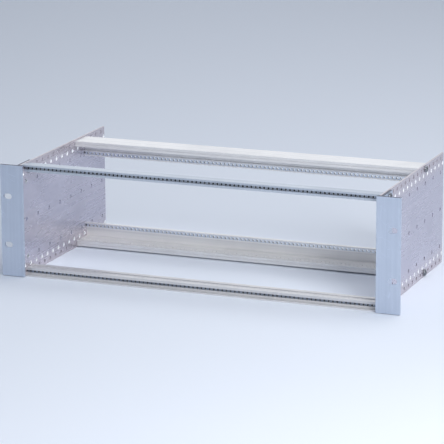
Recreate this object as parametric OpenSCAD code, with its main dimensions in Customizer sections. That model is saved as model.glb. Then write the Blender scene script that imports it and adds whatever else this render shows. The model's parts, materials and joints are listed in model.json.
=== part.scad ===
// Subrack card cage: two side plates, two rack brackets and four extruded cross rails
// with tapped strips, held together by screws into the rail ends and rivets in the brackets.
// X runs to the right, Y from the rack flanges towards the back, Z up. The origin is the
// centre of the rack slot pattern, on the front face of the flanges.

/* [Cage] */
// Clear width between the side plates, in steps of one card position
inner_w = 431.8; // [147.32:5.08:533.4]
// Height of the cage in rack units of 44.45 mm
rack_units = 3; // [3:1:6]
// Room the cage leaves free in the height of its rack space
height_play = 0.85; // [0.5:0.05:2]
// Depth of the side plates behind the rack flanges
plate_d = 232.5; // [217.5:15:307.5]
// Thickness of the side plates
plate_t = 2; // [1.5:0.1:2.5]

/* [Side plate holes] */
// Spacing of the rail screw holes along the top and bottom edges
edge_pitch = 15; // [13.5:0.5:16]
// Diameter of the rail screw holes
edge_hole_d = 4.3; // [4.1:0.1:4.8]
// Spacing of the holes in the middle rows
field_pitch = 30; // [27:1:32]
// Diameter of the holes in the middle rows
field_hole_d = 4.8; // [4:0.1:6]
// Diameter of the small holes staggered behind the rail screw holes
small_hole_d = 3.2; // [2.5:0.1:4]
// Diameter of the countersink on both faces of each small hole
countersink_d = 4.6; // [4.2:0.1:5]
// Distance from the row of rail screws inward to the row of small holes
small_row_in = 7; // [6:0.5:10]

/* [Rack brackets] */
// Thickness of the angle profile
bracket_t = 3; // [2:0.5:4]
// Width of a rack flange from its inner edge to its outer edge
flange_w = 27.94; // [26:0.02:30]
// Depth of the bracket leg along the side plate, flange included
bracket_leg = 34; // [29:1:40]
// How much shorter the bracket is than the side plate at each end
bracket_short = 0.4; // [0:0.1:1]
// Length of a rack slot, rounded ends included
slot_l = 10.3; // [8:0.1:12]
// Width of a rack slot
slot_w = 6.8; // [5:0.1:7.5]
// Distance from the outer edge of the flange to the slot centre
slot_edge = 8.75; // [7.5:0.05:10]

/* [Rails] */
// Distance from the top or bottom of the cage to the rail screws and panel holes
screw_in = 5; // [4.8:0.1:5.2]
// Depth of the recess for a cover sheet on the outer face of every rail
cover_step = 1.6; // [1.2:0.1:1.8]
// Distance from the rack flange face back to the front rail screws
front_screw_y = 22.5; // [22.5:0.5:25]
// Distance from the rack flange face back to the rear rail screws, taken to the nearest hole
rear_rail_y = 165; // [120:15:180]

/* [Front rails] */
// Depth of the front rail body
front_body_d = 19; // [18:0.5:22]
// Distance from the top or bottom of the cage to the inner face of the front rail
front_inner = 9.2; // [8.8:0.1:10]
// Distance from the face of the front rail body back to its end screws
front_screw_back = 11.5; // [10.5:0.5:13]
// Distance from the face of the front rail body back to the step at its heel
heel_back = 14.5; // [14.5:0.1:16]
// Depth of the step at the heel, below the recess of the cover sheet
heel_step = 1.4; // [0.8:0.1:1.6]
// How far the lip stands in front of the front rail body
lip_reach = 6; // [3:0.5:7]
// Depth of the lip land on top of the body
lip_land = 1.5; // [1:0.1:3]
// Thickness of the wall in front of the strip channel
channel_wall = 1.2; // [0.8:0.1:1.5]
// Height of the open mouth of the strip channel
channel_mouth = 2.8; // [2.7:0.1:3.6]
// Height of the relief behind the strip, which takes the tips of the panel screws
relief_h = 3.2; // [2.7:0.1:4]
// Depth of the relief behind the strip
relief_d = 3.4; // [2:0.1:3.6]
// Distance from the front rail body's face back to the guide groove
groove_back = 7.3; // [5.5:0.1:8]
// Width of the guide groove on the inner face
groove_w = 5.7; // [4.5:0.1:6.5]
// Depth of the guide groove
groove_depth = 1; // [0.6:0.1:1]

/* [Rear rails] */
// Distance from the face of the rear rail body back to its end screws
rear_screw_back = 15; // [13:0.5:17]
// Depth of the rear rail body in front of its web
rear_body_d = 28.5; // [24:0.5:32]
// Distance from the top or bottom of the cage to the inner face of the rear rail
rear_inner = 8; // [7.8:0.1:10]
// Thickness of the connector web
web_t = 2; // [1.5:0.1:2.5]
// Distance from the top or bottom of the cage to the row of connector holes
connector_in = 21.25; // [20:0.25:25]
// Diameter of the connector holes in the web
connector_hole_d = 2.8; // [2.6:0.1:3]
// Depth of the V-shaped line on the front face of the rear rail
line_depth = 0.6; // [0.3:0.1:1]

/* [Tapped strips] */
// Thickness of the front strips
front_strip_t = 2; // [1.5:0.1:2.5]
// Height of the front strips
front_strip_h = 5; // [4.6:0.1:5]
// Thickness of the rear strips
rear_strip_t = 1.6; // [1.2:0.1:2]
// Height of the rear strips
rear_strip_h = 4.6; // [4.2:0.1:5]
// Diameter of the tapped holes
tapped_d = 2.5; // [2:0.1:2.6]

/* [Guide slots] */
// Length of a guide slot, front to back
guide_slot_l = 3.2; // [2.5:0.1:4]
// Width of a guide slot
guide_slot_w = 2; // [1.5:0.1:3]
// Depth of a guide slot
guide_slot_depth = 0.6; // [0.3:0.1:0.7]
// Distance from the rear rail's front face back to its row of guide slots
rear_guide_back = 8.5; // [6:0.5:10]

/* [Rivets] */
// Diameter of the rivet heads on the bracket legs
rivet_head_d = 8; // [7.4:0.1:9]
// Height of the rivet heads
rivet_head_h = 1.8; // [1.2:0.1:2.4]
// Diameter of the hollow in a rivet
rivet_bore_d = 3; // [2.4:0.1:3.2]
// How far the rolled end stands out all round
rivet_flare = 0.7; // [0.5:0.1:1]
// Height of the rolled end on the inner face of the side plate
rivet_roll_h = 0.6; // [0.4:0.1:1]

/* [Screws] */
// Thread diameter of the rail screws
screw_d = 3.9; // [3.5:0.1:4]
// Head diameter
head_d = 8; // [6.5:0.1:8.4]
// Head height
head_h = 2.8; // [2:0.1:3.2]
// Length of the rail screws under the head
rail_screw_l = 14; // [10:1:20]
// Length of the cross recess in the head
cross_l = 4.2; // [3:0.1:5]
// Width of the cross recess
cross_w = 1; // [0.6:0.1:1.4]
// Depth of the cross recess
cross_depth = 1.7; // [1:0.1:2]

/* [Hidden] */
$fn = 32;

// Standard steps: from one card position to the next, and one rack unit
card_pitch = 5.08;
unit_h = 44.45;
// What a cutting body runs past the face it cuts
past = 1;
// Gap left around a strip in its channel and around a screw in the rail end
strip_gap = 0.1;
screw_gap = 0.05;
// Gap around a screw in the bracket leg and around a rivet in its holes
leg_gap = 0.25;
rivet_gap = 0.1;
// Least metal left between a hole and the rear edge of the side plate
rim_min = 0.5;
// Part of the rack space that lies above and below the two rows of rack slots
slot_rows_out = 76.2;

// Cage
card_positions = round(inner_w / card_pitch) - 1;
cage_h = rack_units * unit_h - height_play;
half_h = cage_h / 2;
plate_x = inner_w / 2;
plate_back = bracket_t + plate_d;

// Brackets
flange_x = plate_x - card_pitch / 2;
leg_x = plate_x + plate_t;
bracket_h = cage_h - 2 * bracket_short;
slot_x = flange_x + flange_w - slot_edge;
slot_z = (rack_units * unit_h - slot_rows_out) / 2;

// Hole rows of the side plates
rail_screw_z = half_h - screw_in;
rear_screw_y = round(rear_rail_y / edge_pitch) * edge_pitch;
small_row_z = rail_screw_z - small_row_in;
edge_last = floor((plate_back - edge_hole_d) / edge_pitch);
field_last = floor((plate_back - field_hole_d) / field_pitch - 0.5);
field_y = [for (i = [0 : field_last]) (i + 0.5) * field_pitch];
field_z = [for (i = [0 : rack_units - 1]) (i - (rack_units - 1) / 2) * unit_h];
small_last = floor((plate_back - countersink_d / 2 - rim_min) / edge_pitch - 0.5);
small_y = [for (i = [0 : small_last]) (i + 0.5) * edge_pitch];
edge_y = [for (i = [3 : edge_last]) i * edge_pitch];
rivet_y = field_y[0];
rivet_z = field_z[rack_units - 1];

// Front rail, in depth and in distance from the top of the cage
front_y = front_screw_y - front_screw_back;
front_back = front_y + front_body_d;
heel_y = front_y + heel_back;
heel_in = cover_step + heel_step;
channel_y = front_y + channel_wall;
channel_h = front_strip_h + 2 * strip_gap;
channel_back = channel_y + front_strip_t + strip_gap;
relief_back = channel_back + relief_d;
groove_y = front_y + groove_back;
groove_floor = front_inner - groove_depth;
bore_r = screw_d / 2 + screw_gap;

// Rivets: shank through leg and plate, a domed head and a hollow that stops under it
rivet_d = field_hole_d - 2 * rivet_gap;
rivet_grip = bracket_t + plate_t;
rivet_roll_d = field_hole_d + 2 * rivet_flare;
rivet_roll_round = rivet_roll_h / 2;
rivet_floor = 1;
dome_crown = 0.45;
dome_shoulder = 0.85;

// Screw head: a straight rim under a sloped crown
crown_h = head_h * 0.4;
crown_r = head_d * 0.36;
rim_h = head_h - crown_h;

// Rear rail
rear_y = rear_screw_y - rear_screw_back;
web_y = rear_y + rear_body_d;
seat_h = rear_strip_h + 2 * strip_gap;
ledge_t = 0.9;
ledge_lip = 0.8;
ledge_hook = 0.5;
ledge_y = web_y - rear_strip_t;
ledge_top = connector_in - seat_h / 2;
ledge_end = connector_in + seat_h / 2;
line_in = screw_in;

// Middle of every card position
card_x = [for (i = [0 : card_positions - 1]) (i - (card_positions - 1) / 2) * card_pitch];

// ---- turning and mirroring ----

// Draws the children as they are or mirrored to the left
module side(right) {
    mirror([right ? 0 : 1, 0, 0]) children();
}

// Draws the children as they are or mirrored to the bottom
module level(top) {
    mirror([0, 0, top ? 0 : 1]) children();
}

// Runs a section drawn in depth and height across the cage between the side plates
module across(length) {
    translate([-length / 2, 0, 0])
        rotate([90, 0, 90])
            linear_extrude(length)
                children();
}

// Turns depth and distance from the top of the cage into depth and height
module from_top() {
    translate([0, half_h]) mirror([0, 1]) children();
}

// ---- side plates ----

module plate_outline() {
    translate([bracket_t, -half_h]) square([plate_d, cage_h]);
}

// Every round hole of the plate in depth and height
module plate_holes() {
    for (z = [-rail_screw_z, rail_screw_z]) {
        translate([front_screw_y, z]) circle(d = edge_hole_d);
        for (y = edge_y) translate([y, z]) circle(d = edge_hole_d);
    }
    for (z = field_z)
        for (y = field_y) translate([y, z]) circle(d = field_hole_d);
}

// Half section of a hole countersunk on both faces, turned about its own axis
module countersunk_hole() {
    hole_r = small_hole_d / 2;
    sink_r = countersink_d / 2;
    sink_depth = sink_r - hole_r;
    rotate([0, 90, 0])
        rotate_extrude()
            polygon([
                [0, -past], [sink_r + past, -past],
                [hole_r, sink_depth], [hole_r, plate_t - sink_depth],
                [sink_r + past, plate_t + past], [0, plate_t + past]
            ]);
}

module side_plate() {
    color("gainsboro")
        difference() {
            translate([plate_x, 0, 0])
                rotate([90, 0, 90])
                    linear_extrude(plate_t)
                        difference() {
                            plate_outline();
                            plate_holes();
                        }
            for (z = [-small_row_z, small_row_z])
                for (y = small_y)
                    translate([plate_x, y, z]) countersunk_hole();
        }
}

// ---- rack brackets ----

module bracket_section() {
    translate([flange_x, 0]) square([flange_w, bracket_t]);
    translate([leg_x, 0]) square([bracket_t, bracket_leg]);
}

// A rounded slot through the flange, drawn in width and height
module rack_slot() {
    straight = slot_l - slot_w;
    square([straight, slot_w], center = true);
    for (x = [-straight / 2, straight / 2])
        translate([x, 0]) circle(d = slot_w);
}

module bracket() {
    leg_hole_d = screw_d + 2 * leg_gap;
    color("lightsteelblue")
        difference() {
            translate([0, 0, -bracket_h / 2])
                linear_extrude(bracket_h)
                    bracket_section();
            translate([0, bracket_t + past, 0])
                rotate([90, 0, 0])
                    linear_extrude(bracket_t + 2 * past)
                        for (z = [-slot_z, slot_z])
                            translate([slot_x, z]) rack_slot();
            translate([leg_x - past, 0, 0])
                rotate([90, 0, 90])
                    linear_extrude(bracket_t + 2 * past)
                        for (z = [-1, 1]) {
                            translate([front_screw_y, z * rail_screw_z]) circle(d = leg_hole_d);
                            translate([rivet_y, z * rivet_z]) circle(d = field_hole_d);
                        }
        }
}

// ---- front rails and strips ----

// Section of the front rail: lip, strip channel with its relief, guide groove, heel step
// and screw bore
module front_rail_section() {
    mouth_a = screw_in - channel_mouth / 2;
    mouth_b = screw_in + channel_mouth / 2;
    channel_a = screw_in - channel_h / 2;
    channel_b = screw_in + channel_h / 2;
    relief_a = screw_in - relief_h / 2;
    relief_b = screw_in + relief_h / 2;
    difference() {
        polygon([
            [front_y - lip_reach, 0],
            [front_y + lip_land, 0],
            [front_y + lip_land, cover_step],
            [heel_y, cover_step],
            [heel_y, heel_in],
            [front_back, heel_in],
            [front_back, front_inner],
            [groove_y + groove_w, front_inner],
            [groove_y + groove_w, groove_floor],
            [groove_y, groove_floor],
            [groove_y, front_inner],
            [front_y, front_inner],
            [front_y, mouth_b],
            [channel_y, mouth_b],
            [channel_y, channel_b],
            [channel_back, channel_b],
            [channel_back, relief_b],
            [relief_back, relief_b],
            [relief_back, relief_a],
            [channel_back, relief_a],
            [channel_back, channel_a],
            [channel_y, channel_a],
            [channel_y, mouth_a],
            [front_y, mouth_a],
            [front_y, cover_step],
            [front_y - lip_reach, cover_step]
        ]);
        translate([front_screw_y, screw_in]) circle(r = bore_r);
    }
}

// One guide slot for every card position, cut into the inner face of a top rail
module guide_slots(y, face_in) {
    translate([0, y, half_h - face_in - past])
        linear_extrude(past + guide_slot_depth)
            for (x = card_x)
                translate([x, 0]) square([guide_slot_w, guide_slot_l], center = true);
}

module front_rail() {
    color("silver")
        difference() {
            across(inner_w) from_top() front_rail_section();
            guide_slots(groove_y + groove_w / 2, groove_floor);
        }
}

// A flat strip with one tapped hole for every card position
module tapped_strip(front_face, thickness, height, row_in) {
    color("whitesmoke")
        translate([0, front_face + thickness, half_h - row_in])
            rotate([90, 0, 0])
                linear_extrude(thickness)
                    difference() {
                        square([inner_w, height], center = true);
                        for (x = card_x) translate([x, 0]) circle(d = tapped_d);
                    }
}

module front_strip() {
    tapped_strip(channel_y, front_strip_t, front_strip_h, screw_in);
}

// ---- rear rails and strips ----

// Section of the rear rail, with its web, the two hooks of the strip seat and screw bore
module rear_rail_section() {
    web_back = web_y + web_t;
    seat_end = ledge_end + ledge_t;
    difference() {
        polygon([
            [rear_y, cover_step],
            [web_back, cover_step],
            [web_back, seat_end],
            [ledge_y - ledge_lip, seat_end],
            [ledge_y - ledge_lip, ledge_end - ledge_hook],
            [ledge_y, ledge_end - ledge_hook],
            [ledge_y, ledge_end],
            [web_y, ledge_end],
            [web_y, ledge_top],
            [ledge_y, ledge_top],
            [ledge_y, ledge_top + ledge_hook],
            [ledge_y - ledge_lip, ledge_top + ledge_hook],
            [ledge_y - ledge_lip, ledge_top - ledge_t],
            [web_y, ledge_top - ledge_t],
            [web_y, rear_inner],
            [rear_y, rear_inner],
            [rear_y, line_in + line_depth],
            [rear_y + line_depth, line_in],
            [rear_y, line_in - line_depth]
        ]);
        translate([rear_screw_y, screw_in]) circle(r = bore_r);
    }
}

module connector_holes() {
    translate([0, web_y + web_t + past, half_h - connector_in])
        rotate([90, 0, 0])
            linear_extrude(web_t + 2 * past)
                for (x = card_x) translate([x, 0]) circle(d = connector_hole_d);
}

module rear_rail() {
    color("silver")
        difference() {
            across(inner_w) from_top() rear_rail_section();
            connector_holes();
            guide_slots(rear_y + rear_guide_back, rear_inner);
        }
}

module rear_strip() {
    tapped_strip(ledge_y, rear_strip_t, rear_strip_h, connector_in);
}

// ---- screws ----

// A pan-head screw along X, head outwards, its head seated on the plane x = 0
module pan_screw(length) {
    color("slategray")
        rotate([0, 90, 0])
            difference() {
                union() {
                    translate([0, 0, -length]) cylinder(h = length, d = screw_d);
                    cylinder(h = rim_h, d = head_d);
                    translate([0, 0, rim_h])
                        cylinder(h = crown_h, r1 = head_d / 2, r2 = crown_r);
                }
                for (turn = [45, 135])
                    rotate([0, 0, turn])
                        translate([-cross_l / 2, -cross_w / 2, head_h - cross_depth])
                            cube([cross_l, cross_w, cross_depth + past]);
            }
}

module front_screw() {
    translate([leg_x + bracket_t, front_screw_y, rail_screw_z]) pan_screw(rail_screw_l);
}

module rear_screw() {
    translate([leg_x, rear_screw_y, rail_screw_z]) pan_screw(rail_screw_l);
}

// ---- rivets ----

// Half section of a tubular rivet along X, its head seated on the plane x = 0
module rivet() {
    head_r = rivet_head_d / 2;
    shank_r = rivet_d / 2;
    roll_r = rivet_roll_d / 2;
    hollow_r = rivet_bore_d / 2;
    end = -rivet_grip - rivet_roll_h;
    color("gainsboro")
        rotate([0, 90, 0])
            rotate_extrude()
                polygon([
                    [0, rivet_head_h],
                    [head_r * dome_crown, rivet_head_h],
                    [head_r * dome_shoulder, rivet_head_h / 2],
                    [head_r, 0],
                    [shank_r, 0],
                    [shank_r, -rivet_grip],
                    [roll_r, -rivet_grip],
                    [roll_r, end + rivet_roll_round],
                    [roll_r - rivet_roll_round, end],
                    [hollow_r, end],
                    [hollow_r, -rivet_floor],
                    [0, -rivet_floor]
                ]);
}

module bracket_rivets() {
    for (z = [-rivet_z, rivet_z])
        translate([leg_x + bracket_t, rivet_y, z]) rivet();
}

// ---- the cage ----

side(false) side_plate();  // side_plate_left
side(true) side_plate();  // side_plate_right
side(false) bracket();  // bracket_left
side(true) bracket();  // bracket_right
level(true) front_rail();  // front_rail_top
level(false) front_rail();  // front_rail_bottom
level(true) rear_rail();  // rear_rail_top
level(false) rear_rail();  // rear_rail_bottom
level(true) front_strip();  // front_strip_top
level(false) front_strip();  // front_strip_bottom
level(true) rear_strip();  // rear_strip_top
level(false) rear_strip();  // rear_strip_bottom
side(false) level(true) front_screw();  // screw_front_top_left
side(true) level(true) front_screw();  // screw_front_top_right
side(false) level(false) front_screw();  // screw_front_bottom_left
side(true) level(false) front_screw();  // screw_front_bottom_right
side(false) level(true) rear_screw();  // screw_rear_top_left
side(true) level(true) rear_screw();  // screw_rear_top_right
side(false) level(false) rear_screw();  // screw_rear_bottom_left
side(true) level(false) rear_screw();  // screw_rear_bottom_right
side(false) bracket_rivets();  // bracket_rivets_left
side(true) bracket_rivets();  // bracket_rivets_right
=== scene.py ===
# %% [markdown]
# # A subrack card cage in bare and anodised aluminium
# The cage is the metal skeleton that holds plug-in circuit cards: two perforated side
# plates, two rack brackets and four extruded rails. The exact shapes come in as a frame
# from the CAD model. This lesson dresses them: it makes the metals, rebuilds the pieces
# whose edges and corners catch the light, and sets the camera and lamps.

# %% Load the frame
import json
import math

import bmesh
import bpy
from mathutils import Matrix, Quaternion, Vector


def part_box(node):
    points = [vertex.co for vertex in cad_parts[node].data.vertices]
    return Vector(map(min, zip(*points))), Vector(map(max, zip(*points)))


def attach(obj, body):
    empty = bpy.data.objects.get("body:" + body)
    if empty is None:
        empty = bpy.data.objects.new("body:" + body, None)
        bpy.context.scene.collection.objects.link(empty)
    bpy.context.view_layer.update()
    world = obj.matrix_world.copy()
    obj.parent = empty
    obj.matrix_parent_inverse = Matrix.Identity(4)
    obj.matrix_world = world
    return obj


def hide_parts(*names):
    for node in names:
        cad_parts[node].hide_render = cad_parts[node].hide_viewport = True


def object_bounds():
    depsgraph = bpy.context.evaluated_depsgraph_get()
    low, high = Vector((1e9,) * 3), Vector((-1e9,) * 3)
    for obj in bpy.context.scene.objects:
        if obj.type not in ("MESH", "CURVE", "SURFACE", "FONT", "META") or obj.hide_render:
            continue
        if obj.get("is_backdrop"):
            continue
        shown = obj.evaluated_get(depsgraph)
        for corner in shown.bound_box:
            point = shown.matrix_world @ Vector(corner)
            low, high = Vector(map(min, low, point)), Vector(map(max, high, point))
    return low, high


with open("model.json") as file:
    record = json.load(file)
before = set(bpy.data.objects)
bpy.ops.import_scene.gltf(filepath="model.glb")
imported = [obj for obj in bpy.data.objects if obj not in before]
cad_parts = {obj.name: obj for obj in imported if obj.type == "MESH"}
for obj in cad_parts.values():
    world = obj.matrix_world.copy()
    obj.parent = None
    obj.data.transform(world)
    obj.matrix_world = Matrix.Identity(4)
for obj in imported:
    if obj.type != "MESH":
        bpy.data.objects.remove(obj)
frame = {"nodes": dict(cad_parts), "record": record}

MM = 0.001
nodes = frame["nodes"]
cad_low, cad_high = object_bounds()
print("nodes:", len(nodes), "cad box:", [round(v, 4) for v in (*cad_low, *cad_high)])

# %% [markdown]
# ## The camera
# A wide, low object is shown best from far away with a long lens, so that its parallel
# edges stay nearly parallel. The camera is placed by two angles and a distance from a
# target point. Placing it by hand in the viewport works too, but angles are easy to read
# again later.

# %% Place the camera
CAMERA_TURN = math.radians(21.74)      # to the right of straight ahead
CAMERA_RISE = math.radians(13.94)      # above the horizon
CAMERA_ROLL = math.radians(-0.33)
CAMERA_DISTANCE = 2820 * MM
CAMERA_TARGET = Vector((33.0 * MM, 0.0, 21.2 * MM))
SENSOR_WIDTH = 36.0
LENS = 205.3

view_direction = Vector((
    -math.sin(CAMERA_TURN) * math.cos(CAMERA_RISE),
    math.cos(CAMERA_TURN) * math.cos(CAMERA_RISE),
    -math.sin(CAMERA_RISE),
))
camera_data = bpy.data.cameras.new("camera")
camera_data.sensor_width = SENSOR_WIDTH
camera_data.lens = LENS
camera_data.clip_start = 0.05
camera_data.clip_end = 50.0
camera = bpy.data.objects.new("camera", camera_data)
camera.location = CAMERA_TARGET - view_direction * CAMERA_DISTANCE
camera.rotation_mode = "QUATERNION"
level_view = view_direction.to_track_quat("-Z", "Y")
camera.rotation_quaternion = level_view @ Quaternion((0, 0, 1), CAMERA_ROLL)
scene = bpy.context.scene
scene.collection.objects.link(camera)
scene.camera = camera
print("camera stands at", [round(v, 3) for v in camera.location])

# %% [markdown]
# ## The surroundings
# Metal shows what stands around it, so the light matters as much as the material. The
# world is a soft sky that lights the cage gently. A ray that sees the world directly, or
# in a reflection, gets a bright pale backdrop instead, which is white near the horizon
# and a little darker overhead. An image of a studio would do the same, but two colours
# keep the file free of pictures.

# %% Make the world
scene.view_settings.view_transform = "Standard"
world = bpy.data.worlds.new("studio")
scene.world = world
world.use_nodes = True
world_tree = world.node_tree
world_tree.nodes.clear()
world_out = world_tree.nodes.new("ShaderNodeOutputWorld")

sky = world_tree.nodes.new("ShaderNodeBackground")
sky.inputs["Color"].default_value = (0.84, 0.90, 1.0, 1)
sky.inputs["Strength"].default_value = 0.37

backdrop_ramp = world_tree.nodes.new("ShaderNodeValToRGB")
backdrop_ramp.color_ramp.elements[0].position = 0.05
backdrop_ramp.color_ramp.elements[0].color = (0.86, 0.88, 0.92, 1)
backdrop_ramp.color_ramp.elements[1].position = 0.85
backdrop_ramp.color_ramp.elements[1].color = (0.36, 0.43, 0.56, 1)
backdrop = world_tree.nodes.new("ShaderNodeBackground")
direction = world_tree.nodes.new("ShaderNodeTexCoord")
split_direction = world_tree.nodes.new("ShaderNodeSeparateXYZ")
world_tree.links.new(direction.outputs["Generated"], split_direction.inputs[0])
world_tree.links.new(split_direction.outputs["Z"], backdrop_ramp.inputs["Fac"])
world_tree.links.new(backdrop_ramp.outputs["Color"], backdrop.inputs["Color"])

ray = world_tree.nodes.new("ShaderNodeLightPath")
camera_or_glossy = world_tree.nodes.new("ShaderNodeMath")
camera_or_glossy.operation = "MAXIMUM"
seen_ray = world_tree.nodes.new("ShaderNodeMath")
seen_ray.operation = "MAXIMUM"
world_tree.links.new(ray.outputs["Is Camera Ray"], camera_or_glossy.inputs[0])
world_tree.links.new(ray.outputs["Is Glossy Ray"], camera_or_glossy.inputs[1])
world_tree.links.new(camera_or_glossy.outputs[0], seen_ray.inputs[0])
world_tree.links.new(ray.outputs["Is Transmission Ray"], seen_ray.inputs[1])
world_mix = world_tree.nodes.new("ShaderNodeMixShader")
world_tree.links.new(seen_ray.outputs[0], world_mix.inputs["Fac"])
world_tree.links.new(sky.outputs[0], world_mix.inputs[1])
world_tree.links.new(backdrop.outputs[0], world_mix.inputs[2])
world_tree.links.new(world_mix.outputs[0], world_out.inputs["Surface"])
print("world nodes:", len(world_tree.nodes))

# %% [markdown]
# ## The floor
# The cage stands on a wide pale floor. The upright metal faces mirror it, so its colour
# sets theirs. A plane with a matt paint is enough.

# %% Lay the floor
bpy.ops.object.select_all(action="DESELECT")
bpy.ops.mesh.primitive_plane_add(size=40.0, location=(0, 0, cad_low.z))
floor = bpy.context.object
floor.name = "floor"
floor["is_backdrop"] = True
floor_paint = bpy.data.materials.new("floor_paint")
floor_paint.use_nodes = True
floor_shader = floor_paint.node_tree.nodes["Principled BSDF"]
floor_shader.inputs["Base Color"].default_value = (0.78, 0.83, 0.92, 1)
floor_shader.inputs["Roughness"].default_value = 0.7
floor.data.materials.append(floor_paint)

# %% [markdown]
# ## The lamps
# Three square soft boxes: a key to the right in front, which makes the right flange
# brighter than the left one, a wide box overhead, and a faint one behind for the tops of
# the rails.

# %% Hang the lamps
def add_soft_box(name, location, size, power, colour=(1, 1, 1)):
    """Hangs one square soft box that faces the middle of the cage."""
    lamp_data = bpy.data.lights.new(name, "AREA")
    lamp_data.shape = "SQUARE"
    lamp_data.size = size
    lamp_data.energy = power
    lamp_data.color = colour
    lamp = bpy.data.objects.new(name, lamp_data)
    lamp.location = location
    lamp.rotation_mode = "QUATERNION"
    aim = Vector((0, 0.1, 0)) - Vector(location)
    lamp.rotation_quaternion = aim.to_track_quat("-Z", "Y")
    scene.collection.objects.link(lamp)
    return lamp


add_soft_box("key_box", (1.2, -1.0, 0.8), 0.7, 20)
add_soft_box("top_box", (0.5, 0.7, 2.2), 1.4, 20)
add_soft_box("back_box", (-0.9, 2.3, 0.9), 1.0, 1.5)

# %% [markdown]
# ## Patterns for metal
# Every metal here needs the same few patterns: lines along the way it was drawn, rolled
# or brushed, soft marks from handling, thin scratches, and a mask that knows where a
# piece ends. Each one is a node group with named sockets, built once and used by every
# material. Copying loose nodes into each material would work, but then a change would
# have to be made many times.

# %% Helpers for node groups
def start_group(name, inputs, outputs):
    """Makes an empty node group with named sockets and returns its tree and its two ends."""
    tree = bpy.data.node_groups.new(name, "ShaderNodeTree")
    for socket_name, kind, value in inputs:
        socket = tree.interface.new_socket(socket_name, in_out="INPUT", socket_type=kind)
        if value is not None:
            socket.default_value = value
    for socket_name in outputs:
        tree.interface.new_socket(socket_name, in_out="OUTPUT", socket_type="NodeSocketFloat")
    return tree, tree.nodes.new("NodeGroupInput"), tree.nodes.new("NodeGroupOutput")


def math_node(tree, operation, first, second=None, clamp=False):
    """Adds one sum, product or comparison; each side is a socket or a number."""
    step = tree.nodes.new("ShaderNodeMath")
    step.operation = operation
    step.use_clamp = clamp
    for slot, value in enumerate((first, second)):
        if value is None:
            continue
        if isinstance(value, (int, float)):
            step.inputs[slot].default_value = value
        else:
            tree.links.new(value, step.inputs[slot])
    return step.outputs[0]


def vector_node(tree, operation, first, second=None):
    """Adds one step of vector arithmetic; each side is a socket or three numbers."""
    step = tree.nodes.new("ShaderNodeVectorMath")
    step.operation = operation
    for slot, value in enumerate((first, second)):
        if value is None:
            continue
        if isinstance(value, (tuple, list)):
            step.inputs[slot].default_value = value
        else:
            tree.links.new(value, step.inputs[slot])
    return step.outputs[0]


def noise_node(tree, vector, scale, detail=2.0, roughness=0.5):
    """Adds a noise pattern read at the given vector."""
    noise = tree.nodes.new("ShaderNodeTexNoise")
    noise.inputs["Scale"].default_value = scale
    noise.inputs["Detail"].default_value = detail
    noise.inputs["Roughness"].default_value = roughness
    tree.links.new(vector, noise.inputs["Vector"])
    return noise.outputs["Fac"]


def fade(tree, value, low, high):
    """Turns the span from low to high into a smooth climb from 0 to 1."""
    span = tree.nodes.new("ShaderNodeMapRange")
    span.interpolation_type = "SMOOTHSTEP"
    for name, limit in (("From Min", low), ("From Max", high)):
        if isinstance(limit, (int, float)):
            span.inputs[name].default_value = limit
        else:
            tree.links.new(limit, span.inputs[name])
    tree.links.new(value, span.inputs["Value"])
    return span.outputs["Result"]

# %% [markdown]
# ### Drawn Grain
# A press or a brush leaves fine lines in one direction. Noise that is squeezed across the
# lines and pulled out along them gives just that. "Stretch" holds how many times the
# noise repeats in a metre along each axis.

# %% Build Drawn Grain
grain_tree, grain_in, grain_out = start_group(
    "Drawn Grain",
    [("Vector", "NodeSocketVector", None), ("Stretch", "NodeSocketVector", (500, 500, 500))],
    ["Height", "Tone"],
)
lined = vector_node(grain_tree, "MULTIPLY", grain_in.outputs["Vector"], grain_in.outputs["Stretch"])
fine_lines = noise_node(grain_tree, lined, 1.0, detail=3.0, roughness=0.65)
wide_lines = noise_node(grain_tree, lined, 0.23, detail=1.0)
grain_tree.links.new(fine_lines, grain_out.inputs["Height"])
both_lines = math_node(grain_tree, "ADD", math_node(grain_tree, "MULTIPLY", fine_lines, 0.4),
                       math_node(grain_tree, "MULTIPLY", wide_lines, 0.6))
grain_tree.links.new(fade(grain_tree, both_lines, 0.34, 0.66), grain_out.inputs["Tone"])
print("Drawn Grain:", len(grain_tree.nodes), "nodes")

# %% [markdown]
# ### Handling Marks
# Hands and cloths leave broad, soft patches that are a little duller. Two sizes of noise
# are multiplied, so that the patches come and go.

# %% Build Handling Marks
marks_tree, marks_in, marks_out = start_group(
    "Handling Marks",
    [("Vector", "NodeSocketVector", None)],
    ["Patches"],
)
broad_patches = fade(
    marks_tree, noise_node(marks_tree, marks_in.outputs["Vector"], 11.0), 0.36, 0.66)
small_patches = fade(
    marks_tree, noise_node(marks_tree, marks_in.outputs["Vector"], 48.0, detail=4.0), 0.34, 0.70)
marks_tree.links.new(
    math_node(
        marks_tree, "MULTIPLY", broad_patches,
        math_node(marks_tree, "ADD", math_node(marks_tree, "MULTIPLY", small_patches, 0.6), 0.4)),
    marks_out.inputs["Patches"])
print("Handling Marks:", len(marks_tree.nodes), "nodes")

# %% [markdown]
# ### Thin Scratches
# Sheet metal picks up hairline scratches where parts slide over each other. The edges
# between the cells of a stretched Voronoi pattern are thin lines of about the same
# direction. A noise mask breaks them into short pieces.

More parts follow.
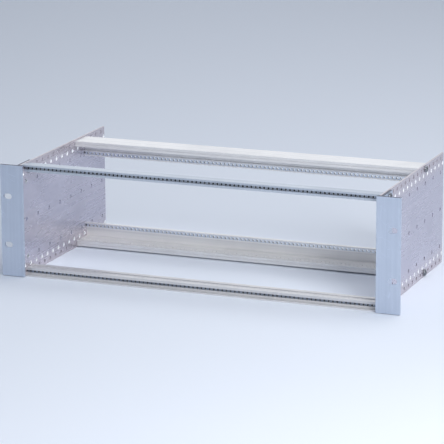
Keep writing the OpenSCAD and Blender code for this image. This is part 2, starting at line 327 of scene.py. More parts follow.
# %% Build Thin Scratches
scratch_tree, scratch_in, scratch_out = start_group(
    "Thin Scratches",
    [("Vector", "NodeSocketVector", None), ("Stretch", "NodeSocketVector", (60, 60, 60))],
    ["Lines"],
)
turned = scratch_tree.nodes.new("ShaderNodeMapping")
turned.inputs["Rotation"].default_value = (0.35, 0.25, 0.3)
scratch_tree.links.new(scratch_in.outputs["Vector"], turned.inputs["Vector"])
pulled = vector_node(
    scratch_tree, "MULTIPLY", turned.outputs["Vector"], scratch_in.outputs["Stretch"])
cells = scratch_tree.nodes.new("ShaderNodeTexVoronoi")
cells.feature = "DISTANCE_TO_EDGE"
cells.inputs["Scale"].default_value = 1.0
scratch_tree.links.new(pulled, cells.inputs["Vector"])
thin_line = math_node(
    scratch_tree, "SUBTRACT", 1.0, fade(scratch_tree, cells.outputs["Distance"], 0.004, 0.02))
broken = fade(
    scratch_tree, noise_node(scratch_tree, scratch_in.outputs["Vector"], 38.0), 0.52, 0.62)
scratch_tree.links.new(
    math_node(scratch_tree, "MULTIPLY", thin_line, broken), scratch_out.inputs["Lines"])
print("Thin Scratches:", len(scratch_tree.nodes), "nodes")

# %% [markdown]
# ### Box Border
# Edges are where metal was cut and where it is rubbed bright or left dark, and the same mask also
# marks hollows that get painted shade. The mask is 0 inside a box and rises to 1 over the last
# stretch before its border. A half size of one metre switches an axis off. Ambient occlusion could
# find edges by itself, but it is slow and is lost when the model is exported.

# %% Build Box Border
border_tree, border_in, border_out = start_group(
    "Box Border",
    [("Vector", "NodeSocketVector", None), ("Centre", "NodeSocketVector", (0, 0, 0)),
     ("Half Size", "NodeSocketVector", (1, 1, 1)), ("Reach", "NodeSocketFloat", 0.001)],
    ["Mask"],
)
off_centre = vector_node(
    border_tree, "ABSOLUTE",
    vector_node(border_tree, "SUBTRACT", border_in.outputs["Vector"], border_in.outputs["Centre"]))
room_left = vector_node(border_tree, "SUBTRACT", border_in.outputs["Half Size"], off_centre)
room_axes = border_tree.nodes.new("ShaderNodeSeparateXYZ")
border_tree.links.new(room_left, room_axes.inputs[0])
least_room = math_node(
    border_tree, "MINIMUM", room_axes.outputs["X"],
    math_node(border_tree, "MINIMUM", room_axes.outputs["Y"], room_axes.outputs["Z"]))
border_tree.links.new(
    math_node(border_tree, "SUBTRACT", 1.0,
              fade(border_tree, least_room, 0.0, border_in.outputs["Reach"])),
    border_out.inputs["Mask"])
print("Box Border:", len(border_tree.nodes), "nodes")

# %% [markdown]
# ### Hole Row
# Punched and tapped holes have a bright burr round them. The Bore output marks their insides, which
# the strips fill with painted shade and the plates' countersinks with a painted highlight. The row
# repeats at every card position, so the mask folds X back into one step and measures the distance
# to the middle of the hole. The height is folded too, because the top and the bottom rails mirror
# each other.

# %% Build Hole Row
row_tree, row_in, row_out = start_group(
    "Hole Row",
    [("Vector", "NodeSocketVector", None), ("Pitch", "NodeSocketFloat", 0.00508),
     ("Row Height", "NodeSocketFloat", 0.06), ("Radius", "NodeSocketFloat", 0.00125)],
    ["Bore", "Burr"],
)
row_axes = row_tree.nodes.new("ShaderNodeSeparateXYZ")
row_tree.links.new(row_in.outputs["Vector"], row_axes.inputs[0])
steps_along = math_node(row_tree, "DIVIDE", row_axes.outputs["X"], row_in.outputs["Pitch"])
within_step = math_node(row_tree, "SUBTRACT", math_node(row_tree, "FRACT", steps_along), 0.5)
along = math_node(row_tree, "MULTIPLY", within_step, row_in.outputs["Pitch"])
height = math_node(
    row_tree, "SUBTRACT", math_node(row_tree, "ABSOLUTE", row_axes.outputs["Z"]),
    row_in.outputs["Row Height"])
from_middle = math_node(
    row_tree, "SQRT",
    math_node(row_tree, "ADD", math_node(row_tree, "MULTIPLY", along, along),
              math_node(row_tree, "MULTIPLY", height, height)))
radii = math_node(row_tree, "DIVIDE", from_middle, row_in.outputs["Radius"])
bore = math_node(row_tree, "SUBTRACT", 1.0, fade(row_tree, radii, 0.99, 1.03))
outer = math_node(row_tree, "SUBTRACT", 1.0, fade(row_tree, radii, 1.10, 1.28))
row_tree.links.new(bore, row_out.inputs["Bore"])
row_tree.links.new(math_node(row_tree, "SUBTRACT", outer, bore, clamp=True), row_out.inputs["Burr"])
print("Hole Row:", len(row_tree.nodes), "nodes")

# %% [markdown]
# ## The metals
# All the metals share one recipe: a dark and a light tone mixed by the grain, patches that
# make the surface duller, a few scratches, and the grain as a fine bump. What differs is
# the direction of the lines, the tones and how polished the piece is. The shader's own
# numbers, such as how metallic it is, are set on the shader itself.

# %% Recipe for a metal
def use_group(tree, name, vector, **values):
    """Adds a node group by name, reads it at the vector, and sets its other sockets."""
    group = tree.nodes.new("ShaderNodeGroup")
    group.node_tree = bpy.data.node_groups[name]
    tree.links.new(vector, group.inputs["Vector"])
    for socket_name, value in values.items():
        group.inputs[socket_name.replace("_", " ")].default_value = value
    return group


def mix_colour(tree, mask, first, second):
    """Mixes two colours, each a socket or three numbers, by a mask from 0 to 1."""
    mix = tree.nodes.new("ShaderNodeMix")
    mix.data_type = "RGBA"
    for slot, value in ((6, first), (7, second)):
        if isinstance(value, (tuple, list)):
            mix.inputs[slot].default_value = (*value, 1)
        else:
            tree.links.new(value, mix.inputs[slot])
    tree.links.new(mask, mix.inputs[0])
    return mix.outputs[2]


def start_metal(name, dark, light, stretch, gloss, dulled, metallic=1.0, relief=0.25):
    """Makes a metal with grain, patches, scratches and bump, and returns its parts."""
    metal = bpy.data.materials.new(name)
    metal.use_nodes = True
    tree = metal.node_tree
    shader = tree.nodes["Principled BSDF"]
    shader.inputs["Metallic"].default_value = metallic
    place = tree.nodes.new("ShaderNodeTexCoord").outputs["Object"]
    grain = use_group(tree, "Drawn Grain", place, Stretch=stretch)
    marks = use_group(tree, "Handling Marks", place)
    lines = use_group(tree, "Thin Scratches", place, Stretch=tuple(0.12 * s + 14 for s in stretch))
    toned = mix_colour(tree, grain.outputs["Tone"], dark, light)
    dull = tuple(0.90 * c for c in dark)
    faint_patches = math_node(tree, "MULTIPLY", marks.outputs["Patches"], 0.35)
    patched = mix_colour(tree, faint_patches, toned, dull)
    faint_lines = math_node(tree, "MULTIPLY", lines.outputs["Lines"], 0.5)
    scratched = mix_colour(tree, faint_lines, patched, tuple(min(1.0, 1.15 * c) for c in light))
    rough = tree.nodes.new("ShaderNodeMapRange")
    rough.inputs["To Min"].default_value = gloss
    rough.inputs["To Max"].default_value = dulled
    both = math_node(tree, "ADD", math_node(tree, "MULTIPLY", marks.outputs["Patches"], 0.6),
                     math_node(tree, "MULTIPLY", grain.outputs["Tone"], 0.4))
    tree.links.new(both, rough.inputs["Value"])
    bump = tree.nodes.new("ShaderNodeBump")
    bump.inputs["Strength"].default_value = relief
    bump.inputs["Distance"].default_value = 0.02 * MM
    tree.links.new(grain.outputs["Height"], bump.inputs["Height"])
    tree.links.new(bump.outputs["Normal"], shader.inputs["Normal"])
    return {"metal": metal, "tree": tree, "shader": shader, "place": place,
            "colour": scratched, "rough": rough.outputs["Result"]}


def add_zone(parts, mask, colour, roughness=None):
    """Lays another tone over the metal where the mask is 1."""
    parts["colour"] = mix_colour(parts["tree"], mask, parts["colour"], colour)
    if roughness is not None:
        zone = parts["tree"].nodes.new("ShaderNodeMix")
        zone.data_type = "FLOAT"
        zone.inputs[3].default_value = roughness
        parts["tree"].links.new(mask, zone.inputs[0])
        parts["tree"].links.new(parts["rough"], zone.inputs[2])
        parts["rough"] = zone.outputs[0]


def finish_metal(parts):
    """Connects the layers to the shader and returns the material."""
    parts["tree"].links.new(parts["colour"], parts["shader"].inputs["Base Color"])
    parts["tree"].links.new(parts["rough"], parts["shader"].inputs["Roughness"])
    print("material", parts["metal"].name, "with", len(parts["tree"].nodes), "nodes")
    return parts["metal"]

# %% [markdown]
# ### Side plates
# The plates are cut from rolled sheet: a silky, slightly lavender grey with lines from
# front to back. Their sheared edges are brighter and a little rougher than the faces.

# %% Make the plate metal
plate_low, plate_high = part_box("side_plate_right")
plate_middle = (Vector(plate_low) + Vector(plate_high)) / 2
plate_half = (Vector(plate_high) - Vector(plate_low)) / 2
plate_parts = start_metal(
    "plate_metal", dark=(0.50, 0.49, 0.585), light=(0.545, 0.53, 0.62),
    stretch=(900, 14, 900), gloss=0.22, dulled=0.36, metallic=0.65)
plate_border = use_group(
    plate_parts["tree"], "Box Border", plate_parts["place"],
    Centre=(0, plate_middle.y, 0), Half_Size=(1, plate_half.y, plate_half.z), Reach=0.35 * MM)
add_zone(plate_parts, plate_border.outputs["Mask"], (0.74, 0.74, 0.76), 0.38)

# %% [markdown]
# Two more zones belong to the plates. In the photo the sheet looks a little warmer along its top
# and bottom; why is a guess, so that is a plain colour zone. The small countersinks get a painted
# highlight, as if their cones caught the light. The row mask reads Y in place of X.

# %% Add the warm bands and the painted highlight in the countersinks
EDGE_PITCH = 15 * MM
SMALL_ROW_IN = 7 * MM
SINK_HIGHLIGHT_R = 2.0 * MM
WARM_BAND_H = 30 * MM
rail_screw_low, rail_screw_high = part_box("screw_front_top_right")
rail_screw_z = (rail_screw_low[2] + rail_screw_high[2]) / 2
small_row_z = rail_screw_z - SMALL_ROW_IN
warm_band = use_group(
    plate_parts["tree"], "Box Border", plate_parts["place"],
    Centre=(0, 0, 0), Half_Size=(1, 1, plate_half.z), Reach=WARM_BAND_H)
add_zone(plate_parts, math_node(plate_parts["tree"], "MULTIPLY", warm_band.outputs["Mask"], 0.7),
         (0.56, 0.50, 0.52))
axes = plate_parts["tree"].nodes.new("ShaderNodeSeparateXYZ")
plate_parts["tree"].links.new(plate_parts["place"], axes.inputs[0])
lengthways = plate_parts["tree"].nodes.new("ShaderNodeCombineXYZ")
plate_parts["tree"].links.new(axes.outputs["Y"], lengthways.inputs["X"])
plate_parts["tree"].links.new(axes.outputs["Z"], lengthways.inputs["Z"])
sink_row = use_group(
    plate_parts["tree"], "Hole Row", lengthways.outputs[0],
    Pitch=EDGE_PITCH, Row_Height=small_row_z, Radius=SINK_HIGHLIGHT_R)
sink_highlight_mask = math_node(
    plate_parts["tree"], "ADD", sink_row.outputs["Bore"], sink_row.outputs["Burr"], clamp=True)
# Painted highlight: the countersinks are painted near white.
add_zone(plate_parts, sink_highlight_mask, (0.95, 0.95, 0.96), 0.34)
plate_metal = finish_metal(plate_parts)

# %% [markdown]
# ### Brackets
# The brackets are an angle profile with a finer, bluer satin, drawn along Z. Their ends at top and
# bottom are made dull and near black, which is a guess.

# %% Make the bracket metal
bracket_low, bracket_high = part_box("bracket_right")
bracket_half_h = (bracket_high[2] - bracket_low[2]) / 2
bracket_parts = start_metal(
    "bracket_metal", dark=(0.48, 0.545, 0.66), light=(0.53, 0.595, 0.71),
    stretch=(1300, 1300, 22), gloss=0.40, dulled=0.50, metallic=0.6)
bracket_ends = use_group(
    bracket_parts["tree"], "Box Border", bracket_parts["place"],
    Centre=(0, 0, 0), Half_Size=(1, 1, bracket_half_h), Reach=0.3 * MM)
add_zone(bracket_parts, bracket_ends.outputs["Mask"], (0.13, 0.14, 0.18), 0.5)
bracket_metal = finish_metal(bracket_parts)

# %% [markdown]
# ### Rails
# The rails are pressed through a die, which leaves straight lines over their whole length. Deep in
# the strip channels the photo is dark, so a folded box mask paints shade there. The height is
# folded with an absolute value, as both levels are alike. The rails share one metal in three tones
# of painted light: the upper front rail gets the darkest, bluest painted shade, the lower front
# rail a lighter painted shade, and the rear rails the lightest tones.

# %% Make the rail metal
strip_low, strip_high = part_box("front_strip_top")
strip_row = (strip_low[2] + strip_high[2]) / 2
CHANNEL_MIDDLE = 3.2 * MM          # behind the front face of the strip
CHANNEL_HALF_DEPTH = 3.9 * MM
CHANNEL_HALF_HEIGHT = 3.0 * MM
CHANNEL_FADE = 0.5 * MM


def rail_look(name, dark, light):
    """Makes a rail metal and paints shade into the channel of the front strip."""
    parts = start_metal(name, dark=dark, light=light, stretch=(9, 1100, 1100),
                        gloss=0.30, dulled=0.44, metallic=0.5)
    folded = vector_node(parts["tree"], "ABSOLUTE", parts["place"])
    channel = use_group(
        parts["tree"], "Box Border", folded,
        Centre=(0, strip_low[1] + CHANNEL_MIDDLE, strip_row),
        Half_Size=(1, CHANNEL_HALF_DEPTH, CHANNEL_HALF_HEIGHT), Reach=CHANNEL_FADE)
    # Painted shade: the inside of the strip channel is painted near black.
    inside = math_node(parts["tree"], "SUBTRACT", 1.0, channel.outputs["Mask"])
    add_zone(parts, inside, (0.07, 0.085, 0.12), 0.6)
    return finish_metal(parts)


# Shaded copies of the rail metal: painted shade on the upper front rail, lighter painted shade on
# the lower one.
upper_rail_shaded_metal = rail_look("upper_rail_shaded_metal", (0.44, 0.49, 0.56), (0.56, 0.61, 0.68))
lower_rail_half_shaded_metal = rail_look("lower_rail_half_shaded_metal", (0.62, 0.62, 0.64), (0.73, 0.72, 0.72))
rear_rail_metal = rail_look("rear_rail_metal", (0.76, 0.755, 0.76), (0.86, 0.85, 0.84))

# %% [markdown]
# ### Strips
# The tapped strips are thin zinc-plated steel, a little bluish, with burrs round the holes and
# painted shade in the bores. The front strips lie in the shade of their channels and get darker
# tones, a painted shade.

# %% Make the strip metals
card_pitch = 5.08 * MM
tapped_r = 1.25 * MM


def strip_look(name, row_height, colour_dark, colour_light):
    """Makes a strip metal whose hole row lies at the given height."""
    parts = start_metal(name, dark=colour_dark, light=colour_light, stretch=(25, 900, 900),
                        gloss=0.24, dulled=0.40)
    row = use_group(parts["tree"], "Hole Row", parts["place"],
                    Pitch=card_pitch, Row_Height=row_height, Radius=tapped_r)
    add_zone(parts, row.outputs["Burr"], (0.82, 0.84, 0.86), 0.30)
    # Painted shade: the bores of the tapped holes are painted near black.
    add_zone(parts, row.outputs["Bore"], (0.04, 0.045, 0.055), 0.6)
    return finish_metal(parts)


rear_strip_low, rear_strip_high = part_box("rear_strip_top")
rear_strip_row = (rear_strip_low[2] + rear_strip_high[2]) / 2
# The front strips get a darker copy of the strip metal, a painted shade.
front_strip_shaded_metal = strip_look(
    "front_strip_shaded_metal", strip_row, (0.20, 0.23, 0.29), (0.34, 0.38, 0.44))
rear_strip_metal = strip_look(
    "rear_strip_metal", rear_strip_row, (0.55, 0.60, 0.68), (0.74, 0.78, 0.84))

# %% [markdown]
# ### Screws and rivets
# Screws and rivets are small and turned, so their pattern has no direction: the stretch is
# the same on all axes. The screws are darker steel, the rivets are plain aluminium.

# %% Make the fastener metals
screw_metal = finish_metal(start_metal(
    "screw_metal", dark=(0.16, 0.165, 0.18), light=(0.30, 0.31, 0.33),
    stretch=(700, 700, 700), gloss=0.26, dulled=0.42))
rivet_metal = finish_metal(start_metal(
    "rivet_metal", dark=(0.55, 0.56, 0.60), light=(0.74, 0.75, 0.78),
    stretch=(600, 600, 600), gloss=0.28, dulled=0.42))

# %% [markdown]
# ## Tools for modelling
# Pieces are shaped with the same operators that a modeller uses by hand. Faces are chosen
# in code by where they are. Small helpers keep the steps readable: one adds a block, one
# picks faces, one runs a modifier, and one cuts one piece out of another.

# %% Helpers for modelling
def deselect_all():
    if bpy.context.object and bpy.context.object.mode != "OBJECT":
        bpy.ops.object.mode_set(mode="OBJECT")
    bpy.ops.object.select_all(action="DESELECT")


def make_active(piece):
    deselect_all()
    piece.select_set(True)
    bpy.context.view_layer.objects.active = piece


def bake_place(piece):
    """Puts the piece's place, turn and size into its mesh."""
    make_active(piece)
    bpy.ops.object.transform_apply(location=True, rotation=True, scale=True)


def add_block(name, low, high):
    """Adds a box between two corners."""
    deselect_all()
    middle = [(a + b) / 2 for a, b in zip(low, high)]
    size = [b - a for a, b in zip(low, high)]
    bpy.ops.mesh.primitive_cube_add(size=1, location=middle, scale=size)
    block = bpy.context.object
    block.name = name
    bake_place(block)
    return block


def select_faces(piece, is_wanted):
    """Selects the faces for which is_wanted(centre, normal) is true, in edit mode."""
    mesh = bmesh.from_edit_mesh(piece.data)
    count = 0
    for face in mesh.faces:
        wanted = is_wanted(face.calc_center_median(), face.normal)
        face.select_set(wanted)
        count += wanted
    mesh.select_flush_mode()
    bmesh.update_edit_mesh(piece.data)
    return count


def select_edges(piece, is_wanted):
    """Selects the edges for which is_wanted(start, end) is true, in edit mode."""
    mesh = bmesh.from_edit_mesh(piece.data)
    for face in mesh.faces:
        face.select_set(False)
    count = 0
    for edge in mesh.edges:
        wanted = is_wanted(edge.verts[0].co, edge.verts[1].co)
        edge.select_set(wanted)
        count += wanted
    bmesh.update_edit_mesh(piece.data)
    return count


def run_modifier(piece, kind, **settings):
    """Adds a modifier, sets it and applies it."""
    make_active(piece)
    modifier = piece.modifiers.new(kind.title(), kind)
    for name, value in settings.items():
        setattr(modifier, name, value)
    bpy.ops.object.modifier_apply(modifier=modifier.name)


def cut_out(piece, cutter):
    """Cuts one piece out of another and removes the cutter."""
    run_modifier(piece, "BOOLEAN", operation="DIFFERENCE", solver="EXACT", object=cutter)
    bpy.data.objects.remove(cutter, do_unlink=True)


def soften_edges(piece, width, segments=2, smooth_below=20):
    """Rounds every sharp edge a little. Only the walls of holes are shaded smoothly."""
    run_modifier(piece, "BEVEL", width=width, segments=segments, limit_method="ANGLE",
                 angle_limit=math.radians(40), use_clamp_overlap=True)
    make_active(piece)
    bpy.ops.object.shade_smooth_by_angle(angle=math.radians(smooth_below))


def dress(piece, metal, slot, *replaced):
    """Gives a finished piece its metal, hangs it on the root and hides the CAD parts it replaces.
    """
    piece.data.materials.clear()
    piece.data.materials.append(metal)
    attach(piece, "root")
    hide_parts(*replaced)
    triangles = sum(len(face.vertices) - 2 for face in piece.data.polygons)
    print(piece.name, "has", triangles, "triangles")

# %% [markdown]
# ## The brackets
# Each bracket starts as the flat flange. Two cuts mark where the leg stands, and the strip
# of face between them is pulled back to make it. The corner behind the flange gets the
# small fillet that every drawn angle has. The slots are cut with a rod that was pulled
# into a slot shape, and last every edge is broken a little.

# %% Read the bracket's measures
slot_pattern = frame["record"]["mounts"][0]["dims"]
SLOT_R = slot_pattern["hole_r_mm"] * MM
SLOT_LENGTH = slot_pattern["slot_length_mm"] * MM
slot_x = slot_pattern["spacing_x_mm"] * MM / 2
slot_z = slot_pattern["spacing_y_mm"] * MM / 2
flange_t = plate_low[1]
leg_in = plate_high[0]
leg_out = leg_in + flange_t
FILLET = 1.2 * MM
BRACKET_EDGE = 0.3 * MM
rail_screw_y = (rail_screw_low[1] + rail_screw_high[1]) / 2
rear_screw_low, rear_screw_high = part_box("screw_rear_top_right")
rear_screw_y = (rear_screw_low[1] + rear_screw_high[1]) / 2
rivet_low, rivet_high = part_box("bracket_rivets_right")
rivet_y = (rivet_low[1] + rivet_high[1]) / 2
RIVET_HEAD_R = (rivet_high[1] - rivet_low[1]) / 2
rivet_z = rivet_high[2] - RIVET_HEAD_R
LEG_HOLE_R = 2.2 * MM
FIELD_HOLE_R = 2.4 * MM
print("slots at", round(slot_x, 4), round(slot_z, 4),
      "rivets at", round(rivet_y, 4), round(rivet_z, 4))

# %% Helpers for rods
def add_rod(name, radius, start, end, sides=32):
    """Adds a round rod between two points, turned so that no corner lies on an axis."""
    deselect_all()
    start, end = Vector(start), Vector(end)
    axis = end - start
    bpy.ops.mesh.primitive_cylinder_add(
        vertices=sides, radius=radius, depth=axis.length, location=(start + end) / 2)
    rod = bpy.context.object
    rod.name = name
    rod.rotation_mode = "QUATERNION"
    half_step = Quaternion((0, 0, 1), math.pi / sides)
    rod.rotation_quaternion = axis.to_track_quat("Z", "Y") @ half_step
    bake_place(rod)
    return rod


def join_all(pieces):
    """Joins several pieces into the first one."""
    deselect_all()
    for piece in pieces:
        piece.select_set(True)
    bpy.context.view_layer.objects.active = pieces[0]
    bpy.ops.object.join()
    return pieces[0]


def move_part(piece, is_wanted, step):
    """Moves the corners for which is_wanted(place) is true."""
    make_active(piece)
    bpy.ops.object.mode_set(mode="EDIT")
    bpy.ops.mesh.select_mode(type="VERT")
    bpy.ops.mesh.select_all(action="DESELECT")
    mesh = bmesh.from_edit_mesh(piece.data)
    for corner in mesh.verts:
        corner.select_set(is_wanted(corner.co))
    bmesh.update_edit_mesh(piece.data)
    bpy.ops.transform.translate(value=step)
    bpy.ops.object.mode_set(mode="OBJECT")

# %% Shape the right bracket
bracket = add_block("bracket", bracket_low, (bracket_high[0], flange_t, bracket_high[2]))
make_active(bracket)
bpy.ops.object.mode_set(mode="EDIT")
for cut_x in (leg_in, leg_out):
    bpy.ops.mesh.select_all(action="SELECT")
    bpy.ops.mesh.bisect(plane_co=(cut_x, 0, 0), plane_no=(1, 0, 0))
bpy.ops.mesh.select_mode(type="FACE")
leg_faces = select_faces(
    bracket, lambda centre, normal: normal.y > 0.9 and leg_in < centre.x < leg_out)
bpy.ops.mesh.extrude_region_move(
    TRANSFORM_OT_translate={"value": (0, bracket_high[1] - flange_t, 0)})
bpy.ops.mesh.select_mode(type="EDGE")
corner_edges = select_edges(
    bracket, lambda start, end: all(
        abs(p.x - leg_out) < 1e-6 and abs(p.y - flange_t) < 1e-6 for p in (start, end)))
bpy.ops.mesh.bevel(offset=FILLET, segments=4, profile=0.5)
bpy.ops.object.mode_set(mode="OBJECT")
print("leg faces:", leg_faces, "fillet edges:", corner_edges)

# %% Cut its slots and holes
for level in (-1, 1):
    slot_rod = add_rod(
        "slot_rod", SLOT_R, (slot_x, -1 * MM, level * slot_z), (slot_x, 5 * MM, level * slot_z))
    half_stretch = SLOT_LENGTH / 2 - SLOT_R
    move_part(slot_rod, lambda place: place.x > slot_x, (half_stretch, 0, 0))
    move_part(slot_rod, lambda place: place.x < slot_x, (-half_stretch, 0, 0))
    cut_out(bracket, slot_rod)
    for hole_y, hole_z, hole_r in (
            (rail_screw_y, rail_screw_z, LEG_HOLE_R), (rivet_y, rivet_z, FIELD_HOLE_R)):
        cut_out(bracket, add_rod(
            "leg_rod", hole_r, (leg_in - 1 * MM, hole_y, level * hole_z),
            (leg_out + 1 * MM, hole_y, level * hole_z)))
soften_edges(bracket, BRACKET_EDGE)
print("bracket faces:", len(bracket.data.polygons))

# %% [markdown]
# The left bracket is the same profile turned over. The finished one is copied, mirrored
# in edit mode and its faces are turned the right way out again.

# %% Mirror the bracket
def mirrored_copy(piece, name):
    """Copies a finished piece with its own mesh and mirrors it to the other side."""
    twin = piece.copy()
    twin.data = piece.data.copy()
    twin.name = name
    scene.collection.objects.link(twin)
    make_active(twin)
    bpy.ops.object.mode_set(mode="EDIT")
    bpy.ops.mesh.select_all(action="SELECT")
    bpy.ops.transform.resize(value=(-1, 1, 1), center_override=(0, 0, 0))
    bpy.ops.mesh.normals_make_consistent(inside=False)
    bpy.ops.object.mode_set(mode="OBJECT")
    return twin


bracket.name = "bracket_angle_right"
left_bracket = mirrored_copy(bracket, "bracket_angle_left")
dress(bracket, bracket_metal, "bracket_metal", "bracket_right")
dress(left_bracket, bracket_metal, "bracket_metal", "bracket_left")

# %% [markdown]
# ## The side plates
# A plate is a sheet with rows of punched holes. All the punches are joined to one cutter
# and pressed through in one go. The small holes are countersunk on both faces, so their
# punches are rods that flare at each end. A lattice of little tiles would need no cutting,
# but the rows have different steps.

# %% Set out the hole rows
FIELD_PITCH = 30 * MM
RACK_UNIT = 44.45 * MM
EDGE_HOLE_R = 2.15 * MM
SMALL_HOLE_R = 1.6 * MM
SINK_R = 2.3 * MM
PLATE_EDGE = 0.14 * MM
edge_row_y = [rail_screw_y] + [i * EDGE_PITCH for i in range(3, 16)]
field_row_y = [(i + 0.5) * FIELD_PITCH for i in range(8)]
small_row_y = [(i + 0.5) * EDGE_PITCH for i in range(16)]
plain_holes = [(y, z * rail_screw_z, EDGE_HOLE_R) for y in edge_row_y for z in (-1, 1)]
plain_holes += [(y, z * RACK_UNIT, FIELD_HOLE_R) for y in field_row_y for z in (-1, 0, 1)]
sunk_holes = [(y, z * small_row_z) for y in small_row_y for z in (-1, 1)
              if y < plate_high[1] - SINK_R]
print("plain holes:", len(plain_holes), "countersunk holes:", len(sunk_holes))

# %% Punch the right plate
plate = add_block("plate", plate_low, plate_high)
punches = []
for hole_y, hole_z, hole_r in plain_holes:
    punches.append(add_rod(
        "punch", hole_r, (plate_low[0] - 1 * MM, hole_y, hole_z),
        (plate_high[0] + 1 * MM, hole_y, hole_z), sides=24))
sink_depth = SINK_R - SMALL_HOLE_R


def flared_punch(hole_y, hole_z):
    """Makes a thin rod and two cones that open towards the faces of the plate."""
    rod = add_rod("punch", SMALL_HOLE_R, (plate_low[0] - 1 * MM, hole_y, hole_z),
                  (plate_high[0] + 1 * MM, hole_y, hole_z), sides=24)
    make_active(rod)
    bpy.ops.object.mode_set(mode="EDIT")
    for face_x, inward in ((plate_low[0], 1), (plate_high[0], -1)):
        for cut_x in (face_x + inward * sink_depth, face_x):
            bpy.ops.mesh.select_all(action="SELECT")
            bpy.ops.mesh.bisect(plane_co=(cut_x, 0, 0), plane_no=(1, 0, 0))
    for face_x, outward in ((plate_low[0], -1), (plate_high[0], 1)):
        bpy.ops.mesh.select_mode(type="VERT")
        bpy.ops.mesh.select_all(action="DESELECT")
        mesh = bmesh.from_edit_mesh(rod.data)
        for corner in mesh.verts:
            corner.select_set((corner.co.x - face_x) * outward > -1e-7)
        bmesh.update_edit_mesh(rod.data)
        widen = SINK_R / SMALL_HOLE_R
        bpy.ops.transform.resize(
            value=(1, widen, widen), center_override=(face_x, hole_y, hole_z))
    bpy.ops.object.mode_set(mode="OBJECT")
    return rod


for hole_y, hole_z in sunk_holes:
    punches.append(flared_punch(hole_y, hole_z))
cut_out(plate, join_all(punches))
soften_edges(plate, PLATE_EDGE, segments=1, smooth_below=16)
print("plate faces:", len(plate.data.polygons))

# %% Mirror the plate
plate.name = "plate_sheet_right"
left_plate = mirrored_copy(plate, "plate_sheet_left")
dress(plate, plate_metal, "plate_metal", "side_plate_right")
dress(left_plate, plate_metal, "plate_metal", "side_plate_left")

# %% [markdown]
# ## Screws and rivets
# Turned pieces grow from one disc: it is pushed along its axis and widened or narrowed,
# step after step, as a chain of rings. A screw modifier or a spin gives the same shape,
# but the steps read like the drawing of the piece. The cross in the screw head is two
# wedges that are cut in.

# %% Helpers for turned pieces
def turn_on_lathe(name, rings, sides=32):
    """Makes a closed turned body along Z from (radius, height) rings."""
    deselect_all()
    radius, height = rings[0]
    bpy.ops.mesh.primitive_circle_add(
        vertices=sides, radius=radius, fill_type="NGON", location=(0, 0, height))
    body = bpy.context.object
    body.name = name
    bake_place(body)
    bpy.ops.object.mode_set(mode="EDIT")
    bpy.ops.mesh.select_mode(type="FACE")
    bpy.ops.mesh.select_all(action="SELECT")
    for next_radius, next_height in rings[1:]:
        bpy.ops.mesh.extrude_region_move(
            TRANSFORM_OT_translate={"value": (0, 0, next_height - height)})
        grow = next_radius / radius
        bpy.ops.transform.resize(value=(grow, grow, 1), center_override=(0, 0, next_height))
        radius, height = next_radius, next_height
    bpy.ops.mesh.select_all(action="SELECT")
    bpy.ops.mesh.remove_doubles(threshold=1e-6)
    bpy.ops.mesh.normals_make_consistent(inside=False)
    bpy.ops.object.mode_set(mode="OBJECT")
    return body


def set_in_place(piece, name, right, place):
    """Copies a piece with its own mesh, lays its axis along X and moves it to its place."""
    copy = piece.copy()
    copy.data = piece.data.copy()
    copy.name = name
    scene.collection.objects.link(copy)
    copy.rotation_mode = "QUATERNION"
    copy.rotation_quaternion = Quaternion((0, 1, 0), math.radians(90 if right else -90))
    copy.location = place
    bake_place(copy)
    return copy

# %% Turn the screw
HEAD_R = (rail_screw_high[1] - rail_screw_low[1]) / 2
HEAD_H = 2.8 * MM
RIM_H = 0.9 * MM
SHANK_R = 1.95 * MM
SHANK_L = 14 * MM
POINT_L = 1.0 * MM
CROSS_HALF_L = 2.1 * MM
CROSS_HALF_W = 0.5 * MM
CROSS_DEPTH = 1.7 * MM
CROSS_TAPER = (0.5, 0.6, 1)        # how much of its size each wedge keeps at the bottom
screw_rings = [(SHANK_R - 0.6 * MM, -SHANK_L), (SHANK_R, POINT_L - SHANK_L), (SHANK_R, 0.0),
               (HEAD_R - 0.2 * MM, 0.0), (HEAD_R, 0.25 * MM), (HEAD_R, RIM_H)]
for step in range(1, 6):
    lift = math.radians(15 * step)
    screw_rings.append((
        HEAD_R * (0.12 + 0.88 * math.cos(lift)), RIM_H + (HEAD_H - RIM_H) * math.sin(lift)))
screw_rings.append((HEAD_R * 0.2, HEAD_H))
screw = turn_on_lathe("screw", screw_rings)
for turn in (45, 135):
    wedge = add_block(
        "wedge", (-CROSS_HALF_L, -CROSS_HALF_W, HEAD_H - CROSS_DEPTH),
        (CROSS_HALF_L, CROSS_HALF_W, HEAD_H + 1 * MM))
    make_active(wedge)
    bpy.ops.object.mode_set(mode="EDIT")
    bpy.ops.mesh.select_mode(type="FACE")
    select_faces(wedge, lambda centre, normal: normal.z < -0.9)
    bpy.ops.transform.resize(value=CROSS_TAPER, center_override=(0, 0, HEAD_H - CROSS_DEPTH))
    bpy.ops.object.mode_set(mode="OBJECT")
    wedge.rotation_euler = (0, 0, math.radians(turn))
    bake_place(wedge)
    cut_out(screw, wedge)
make_active(screw)
bpy.ops.object.shade_smooth_by_angle(angle=math.radians(30))
print("screw faces:", len(screw.data.polygons))

# %% Set the eight screws
for end, screw_y in (("front", rail_screw_y), ("rear", rear_screw_y)):
    for level_name, level in (("top", 1), ("bottom", -1)):
        for side_name, side in (("left", -1), ("right", 1)):
            node_name = "screw_" + end + "_" + level_name + "_" + side_name
            low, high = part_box(node_name)
            seat = (high[0] - HEAD_H) if side > 0 else (low[0] + HEAD_H)
            placed = set_in_place(
                screw, "pan_" + node_name, side > 0, (seat, screw_y, level * rail_screw_z))
            dress(placed, screw_metal, "screw_metal", node_name)
bpy.data.objects.remove(screw, do_unlink=True)

# %% [markdown]
# A tubular rivet is a soft pin with a hole in its end. The end is rolled outwards over
# the inner face of the plate, and looks like a bright ring with a dark middle.

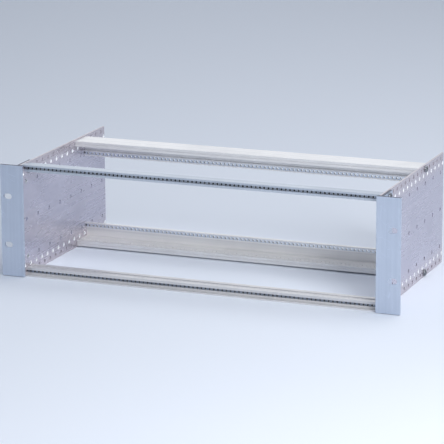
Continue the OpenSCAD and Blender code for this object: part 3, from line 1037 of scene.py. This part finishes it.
# %% Turn the rivet
RIVET_HEAD_H = 1.8 * MM
RIVET_RIM_H = 0.15 * MM
RIVET_R = 2.3 * MM
ROLL_R = 3.1 * MM
ROLL_H = 0.6 * MM
HOLLOW_R = 1.5 * MM
grip = leg_out - plate_low[0]
rivet_rings = [(HOLLOW_R * 0.7, -1.2 * MM), (HOLLOW_R, -1.6 * MM), (HOLLOW_R, -grip - 0.1 * MM),
               (HOLLOW_R + 0.3 * MM, -grip - 0.45 * MM), (HOLLOW_R + 0.7 * MM, -grip - ROLL_H),
               (ROLL_R - 0.35 * MM, -grip - ROLL_H), (ROLL_R, -grip - 0.3 * MM), (ROLL_R, -grip),
               (RIVET_R, -grip), (RIVET_R, 0.0), (RIVET_HEAD_R, 0.0), (RIVET_HEAD_R, RIVET_RIM_H)]
for step in range(1, 6):
    lift = math.radians(15 * step)
    rivet_rings.append((
        RIVET_HEAD_R * (0.05 + 0.95 * math.cos(lift)),
        RIVET_RIM_H + (RIVET_HEAD_H - RIVET_RIM_H) * math.sin(lift)))
rivet_rings.append((RIVET_HEAD_R * 0.12, RIVET_HEAD_H))
rivet = turn_on_lathe("rivet", rivet_rings)
bpy.ops.object.shade_smooth_by_angle(angle=math.radians(35))
print("rivet faces:", len(rivet.data.polygons))

# %% Set the four rivets
for side_name, side in (("left", -1), ("right", 1)):
    pair = [set_in_place(rivet, "rivet", side > 0, (side * leg_out, rivet_y, level * rivet_z))
            for level in (1, -1)]
    both = join_all(pair)
    both.name = "tubular_rivets_" + side_name
    dress(both, rivet_metal, "screw_metal", "bracket_rivets_" + side_name)
bpy.data.objects.remove(rivet, do_unlink=True)

# %% [markdown]
# ## Rails and strips
# The rails and strips keep their CAD shapes, which already carry every groove, slot and
# hole. They only get their metals.

# %% Dress the rails and strips
kept_looks = {
    "front_rail_top": upper_rail_shaded_metal, "front_rail_bottom": lower_rail_half_shaded_metal,
    "rear_rail": rear_rail_metal,
    "front_strip": front_strip_shaded_metal, "rear_strip": rear_strip_metal,
}
for name, node in nodes.items():
    for start, metal in kept_looks.items():
        if name.startswith(start):
            node.data.materials.clear()
            node.data.materials.append(metal)
            print(name, "wears", metal.name)

# %% [markdown]
# ## Finish
# The looks must not change the size, so the box round the finished scene is measured again, as the
# CAD box was at the start.

# %% Finish
low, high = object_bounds()
